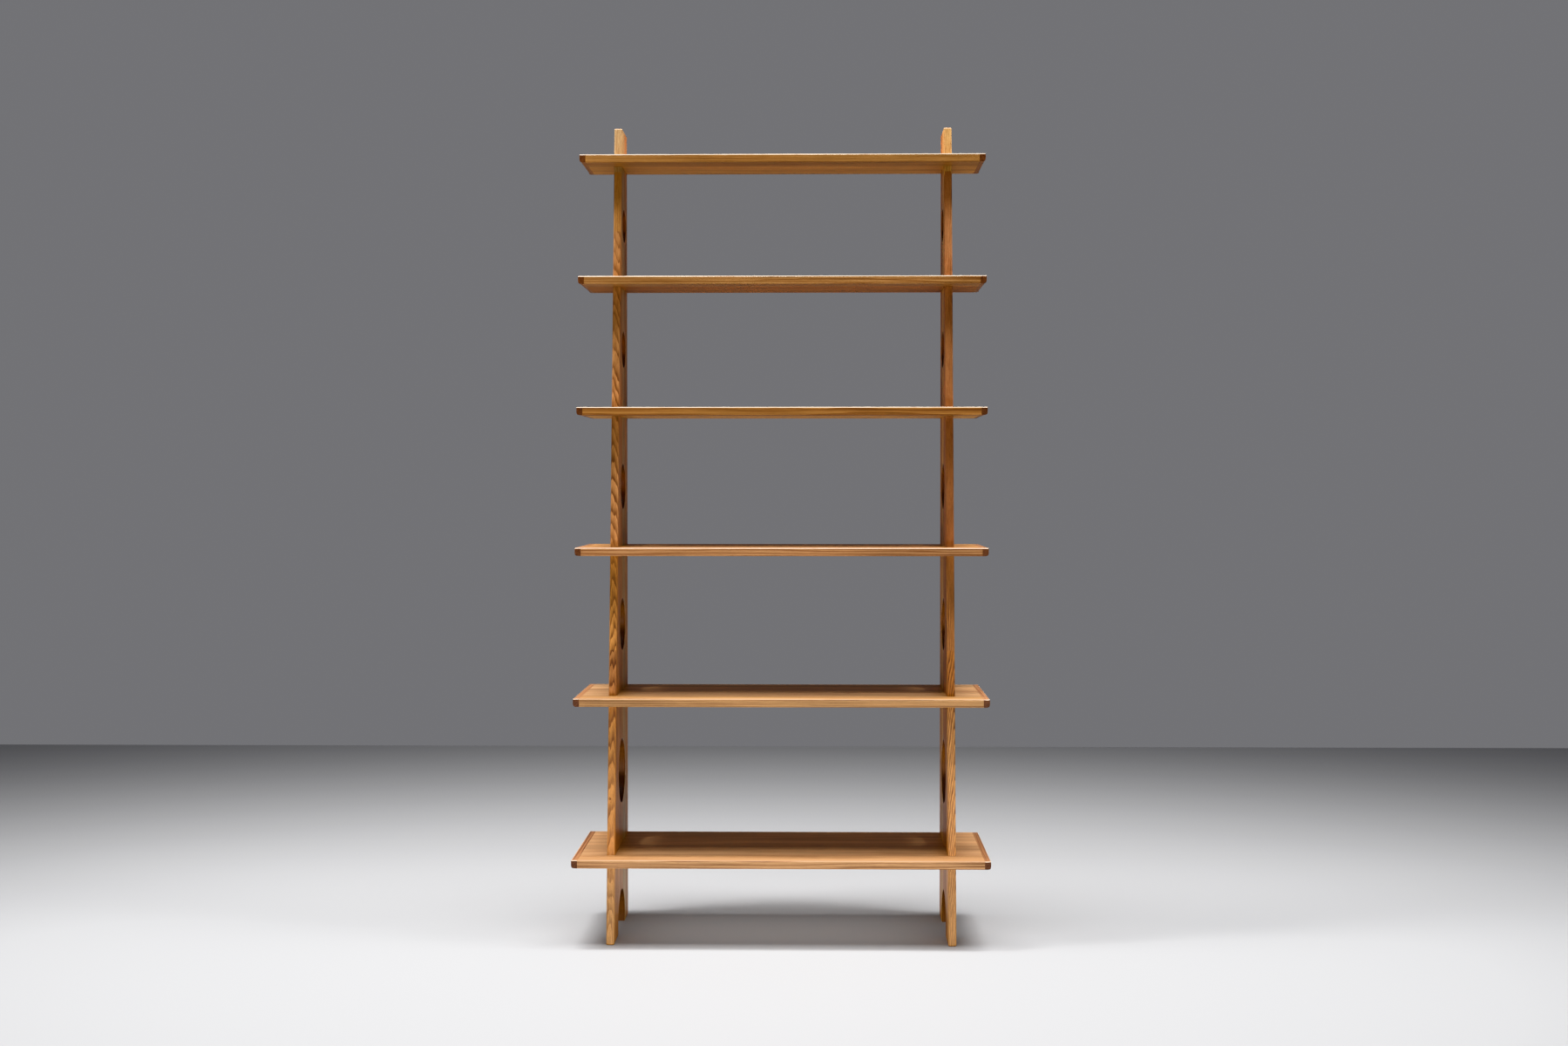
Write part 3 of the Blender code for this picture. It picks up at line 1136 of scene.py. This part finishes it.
@dataclass
class Studio:
    """Pale floor, soft lights and the camera.

    Attributes:
        photo_width: Width of the photograph in pixels.
        sensor_width: Width of the camera's sensor in millimetres.
        lens_pixels: Focal length in pixels of the photograph.
        camera_place: Where the camera stands, in metres.
        camera_pitch: How far it looks down, in radians.
        camera_yaw: How far it turns to the left, in radians.
        floor_reach: How far the floor reaches to the sides and the front, in metres.
        floor_rear: How far it reaches to the rear, in metres.
        floor_tone: Colour of the floor.
        floor_roughness: Roughness of its paint.
        room_tone: Colour of the room around.
        soft_lights: Softboxes above, and fills that lighten the floor and the shade on it.
    """

    photo_width: int = 1799
    sensor_width: float = 36.0
    lens_pixels: float = 2300.0
    camera_place: Point = (0.0938, -5.0708, 1.1442)
    camera_pitch: float = 0.0210
    camera_yaw: float = 0.0176
    floor_reach: float = 12.0
    floor_rear: float = 3.55
    floor_tone: Colour = tone(160, 160, 161)
    floor_roughness: float = 0.6
    room_tone: Colour = tone(126, 126, 129)
    soft_lights: tuple[SoftLight, ...] = (
        SoftLight("front_softbox", (0, -1.2, 4.2), (0, -1.1, 0), (3.4, 0.8), 50),
        SoftLight("left_softbox", (-1.45, -0.2, 4.2), (-1.2, -0.1, 0), (0.5, 2.2), 98),
        SoftLight("right_softbox", (1.45, -0.2, 4.2), (1.2, -0.1, 0), (0.5, 2.2), 80),
        SoftLight("floor_fill", (0, -3.0, 0.3), (0, 0, 0.2), (3.6, 0.3), 18, math.radians(105)),
        SoftLight("shade_fill", (0, 0, 0.19), (0, 0, 0), (0.80, 0.34), 0.6, math.pi))

    def floor(self) -> None:
        """Plain, pale floor under the bookcase."""
        bm = bmesh.new()
        reach = self.floor_reach
        rim = ((-reach, -reach), (reach, -reach), (reach, self.floor_rear), (-reach, self.floor_rear))
        bm.faces.new([bm.verts.new((x, y, 0)) for x, y in rim])
        piece = polygon_object("studio_floor", bm)
        made = bpy.data.materials.new("studio_floor_paint")
        graph = Graph(made)
        inputs = {"Base Color": (*self.floor_tone, 1), "Roughness": self.floor_roughness}
        graph.add("OutputMaterial", {0: graph.add("BsdfPrincipled", inputs).outputs[0]})
        piece.data.materials.append(made)

    def lights(self) -> None:
        """Soft lights in a grey room."""
        for light in self.soft_lights:
            light.hang()
        world = bpy.data.worlds.new("studio_room")
        bpy.context.scene.world = world
        world.use_nodes = True
        backdrop = world.node_tree.nodes["Background"]
        backdrop.inputs["Color"].default_value = (*self.room_tone, 1)
        backdrop.inputs["Strength"].default_value = 1.0

    def colours(self) -> None:
        """Show colours as they are, with only the highlights held back."""
        bpy.context.scene.view_settings.view_transform = "Khronos PBR Neutral"

    def camera(self) -> None:
        """Camera at the photograph's place and angle."""
        data = bpy.data.cameras.new("photo_camera")
        data.sensor_fit = "HORIZONTAL"
        data.sensor_width = self.sensor_width
        data.lens = self.lens_pixels * self.sensor_width / self.photo_width
        holder = bpy.data.objects.new("photo_camera", data)
        holder.location = self.camera_place
        holder.rotation_euler = (math.pi / 2 - self.camera_pitch, 0, self.camera_yaw)
        bpy.context.scene.collection.objects.link(holder)
        bpy.context.scene.camera = holder

    def build(self) -> None:
        """Set up the whole studio."""
        self.floor()
        self.lights()
        self.colours()
        self.camera()


class Timber:
    """Tones of the laths that the uprights are glued from."""

    SAND = tone(215, 160, 98)
    HONEY = tone(214, 156, 94)
    FLAX = tone(213, 170, 105)
    GOLDEN = tone(203, 141, 76)
    WHEAT = tone(192, 138, 88)
    TAN = tone(190, 138, 80)
    STRAW = tone(190, 161, 114)
    OCHRE = tone(180, 119, 61)
    COPPER = tone(178, 122, 80)
    AMBER = tone(174, 119, 70)
    BROWN = tone(153, 101, 64)
    RUSSET = tone(144, 96, 58)
    CHESTNUT = tone(112, 67, 38)
    UMBER = tone(92, 51, 29)
    DARK = tone(84, 44, 21)


@dataclass
class Bookcase:
    """The whole bookcase: two uprights and six shelves.

    Attributes:
        joinery: Shared ways of shaping.
        shelf_count: Number of shelves.
        stave_width: Width of the staves that the shelves are glued from, in metres.
        pith_sides: How far a stave's pith may lie beside its start, in metres.
        pith_depths: How far it may lie above or below the board, in metres.
        stave_levels: How far a stave may be darker or lighter than the board, as a factor.
        ring_widths: Least and greatest mean width of a growth ring, in metres.
        first_seed: Seed of a shelf numbered 0.
        seed_step: What each shelf adds to the seed.
        board_tones_and_painted_light: Spring and summer wood of each board, from the lowest up; the three
            upper boards, seen only from below, also hold painted light, set to the look of their undersides
            lit from below.
        strip_shades: Spring and summer wood of each front strip, from the lowest up.
        strip_arris_highlight_and_wear: How pale each front strip's upper arris is painted, as worn oil and
            as a painted highlight, from the lowest up.
        batten_shades: Spring and summer wood of the battens.
        batten_ring: Mean width of their growth rings, in metres.
        batten_pith_drop: How far their pith lies below the shelf's underside, in metres.
        batten_pith_gaps: How far their pith lies beyond the end of the shelf on each side, in metres.
    """

    joinery: Joinery = Joinery()
    shelf_count: int = 6
    stave_width: float = 0.066
    pith_sides: Span = (-0.06, 0.12)
    pith_depths: Span = (0.03, 0.12)
    stave_levels: Span = (0.86, 1.10)
    ring_widths: Span = (0.003, 0.005)
    first_seed: float = 20.0
    seed_step: float = 7.3
    # The three upper boards' tones also hold painted bounce light on their undersides
    board_tones_and_painted_light: tuple[tuple[Colour, Colour], ...] = (
        (tone(191, 148, 105), tone(160, 113, 73)), (tone(188, 148, 105), tone(158, 111, 70)),
        (tone(190, 140, 84), tone(130, 78, 38)), (tone(225, 166, 82), tone(158, 98, 42)),
        (tone(180, 118, 52), tone(124, 67, 24)), (tone(209, 153, 86), tone(151, 93, 43)))
    strip_shades: tuple[tuple[Colour, Colour], ...] = (
        (tone(184, 139, 94), tone(112, 70, 38)), (tone(200, 152, 98), tone(120, 76, 40)),
        (tone(180, 131, 85), tone(122, 74, 39)), (tone(171, 121, 67), tone(115, 68, 31)),
        (tone(174, 128, 79), tone(117, 72, 38)), (tone(179, 131, 77), tone(127, 79, 39)))
    strip_arris_highlight_and_wear: tuple[float, ...] = (0.15, 0.25, 0.8, 1.0, 1.0, 1.0)
    batten_shades: tuple[Colour, Colour] = (tone(160, 112, 74), tone(112, 70, 44))
    batten_ring: float = 0.0035
    batten_pith_drop: float = 0.04
    batten_pith_gaps: tuple[float, float] = (0.02, 0.03)

    def left_upright(self) -> OiledWood:
        """Finish of the left upright, glued from eight staves, with two small knots low in front.

        Returns:
            The finish.
        """
        front_tree, lean = (-0.193, -0.4215), 0.057
        rear_tree = (0.090, -0.2500)
        staves = (Stave(-1, front_tree, 0.0034, Timber.SAND, Timber.RUSSET, lean),
                  Stave(-0.135, front_tree, 0.0038, Timber.GOLDEN, Timber.CHESTNUT, lean),
                  Stave(-0.0905, front_tree, 0.0024, Timber.AMBER, Timber.DARK, lean),
                  Stave(-0.076, front_tree, 0.0028, Timber.GOLDEN, Timber.DARK, lean),
                  Stave(-0.047, (-0.300, -0.4920), 0.0046, Timber.WHEAT, Timber.UMBER),
                  Stave(0.048, rear_tree, 0.0042, Timber.TAN, Timber.RUSSET),
                  Stave(0.066, rear_tree, 0.0042, Timber.STRAW, Timber.RUSSET),
                  Stave(0.134, (0.210, -0.5100), 0.0040, Timber.WHEAT, Timber.RUSSET))
        knots = (Knot((-0.424, -0.118, 0.355), 0.0026), Knot((-0.4232, -0.119, 0.3455), 0.0018))
        return OiledWood(Grain.UPWARD, "upright_wood", 3.1, staves, broad_face_light=1.1, knots=knots)

    def right_upright(self) -> OiledWood:
        """Finish of the right upright, glued from eight staves.

        Returns:
            The finish.
        """
        front_tree = (-0.215, 0.5200)
        middle_tree = (-0.030, 0.6200)
        staves = (Stave(-1, front_tree, 0.0036, Timber.SAND, Timber.RUSSET),
                  Stave(-0.135, front_tree, 0.0036, Timber.HONEY, Timber.CHESTNUT),
                  Stave(-0.0905, front_tree, 0.0036, Timber.OCHRE, Timber.DARK),
                  Stave(-0.076, middle_tree, 0.0030, Timber.AMBER, Timber.UMBER),
                  Stave(-0.047, middle_tree, 0.0030, Timber.BROWN, Timber.UMBER),
                  Stave(-0.008, middle_tree, 0.0030, Timber.COPPER, Timber.UMBER),
                  Stave(0.066, (0.020, 0.2600), 0.0038, Timber.FLAX, Timber.RUSSET),
                  Stave(0.134, (0.190, 0.3600), 0.0042, Timber.OCHRE, Timber.RUSSET))
        return OiledWood(Grain.UPWARD, "upright_wood", 8.7, staves, broad_face_light=1.3)

    def uprights(self) -> None:
        """Build both uprights, whose broad faces show long use and painted light."""
        for side, wood in ((Side.LEFT, self.left_upright()), (Side.RIGHT, self.right_upright())):
            used = replace(wood, streakiness=0.3, arris_wear_and_highlight=0.3, patina=0.6)
            Upright(side, used, self.joinery).build()

    def stave(self, source: random.Random, start: float, height: float,
              shades: tuple[Colour, Colour]) -> Stave:
        """One stave with a pith line and shades of its own.

        Args:
            source: Source of chance.
            start: Where it starts across the grain, in metres.
            height: Height of the board above the floor, in metres.
            shades: Mean colours of its spring and its summer wood.

        Returns:
            The stave.
        """
        pith = (start + source.uniform(*self.pith_sides),
                height + source.choice((-1, 1)) * source.uniform(*self.pith_depths))
        level = source.uniform(*self.stave_levels)
        early, late = (tuple(channel * level for channel in shade) for shade in shades)
        return Stave(start, pith, source.uniform(*self.ring_widths), early, late)

    def batten_wood(self, seed: float, pith: tuple[float, float]) -> OiledWood:
        """Finish of one batten, whose rings stand round a given pith."""
        stave = Stave(-1, pith, self.batten_ring, *self.batten_shades)
        return OiledWood(Grain.FRONT_TO_BACK, "batten_wood", seed, (stave,), wave=0.003)

    def shelf(self, number: int) -> None:
        """Build one shelf with woods of its own.

        Args:
            number: Number of the shelf, from 1 at the bottom.
        """
        low, high = shelf_box(number)
        seed = self.first_seed + self.seed_step * number
        source = random.Random(number)
        shades = self.board_tones_and_painted_light[number - 1]
        count = math.ceil((high.y - low.y) / self.stave_width)
        staves = tuple(self.stave(source, high.y - self.stave_width * step, low.z, shades)
                       for step in range(count, 0, -1))
        board = OiledWood(Grain.ALONG_SHELF, "board_wood", seed, staves, streakiness=0.35, arris_wear_and_highlight=0.3)
        strip_stave = self.stave(source, low.y, low.z, self.strip_shades[number - 1])
        strip = OiledWood(Grain.ALONG_SHELF, "strip_wood", seed + 1, (strip_stave,), streakiness=0.5,
                          arris_wear_and_highlight=self.strip_arris_highlight_and_wear[number - 1])
        left_gap, right_gap = self.batten_pith_gaps
        pith_z = low.z - self.batten_pith_drop
        piths = ((low.x - left_gap, pith_z), (high.x + right_gap, pith_z))
        battens = {side: self.batten_wood(seed + 2 + place, piths[place]) for place, side in enumerate(Side)}
        Shelf(number, board, strip, battens, self.joinery).build()

    def build(self) -> None:
        """Build every piece."""
        self.uprights()
        for number in range(1, self.shelf_count + 1):
            self.shelf(number)


def main() -> None:
    """Build the bookcase and its studio."""
    logging.basicConfig(level=logging.INFO, format="%(name)s: %(message)s")
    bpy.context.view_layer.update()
    Bookcase().build()
    Studio().build()


if __name__ == "__main__":
    main()
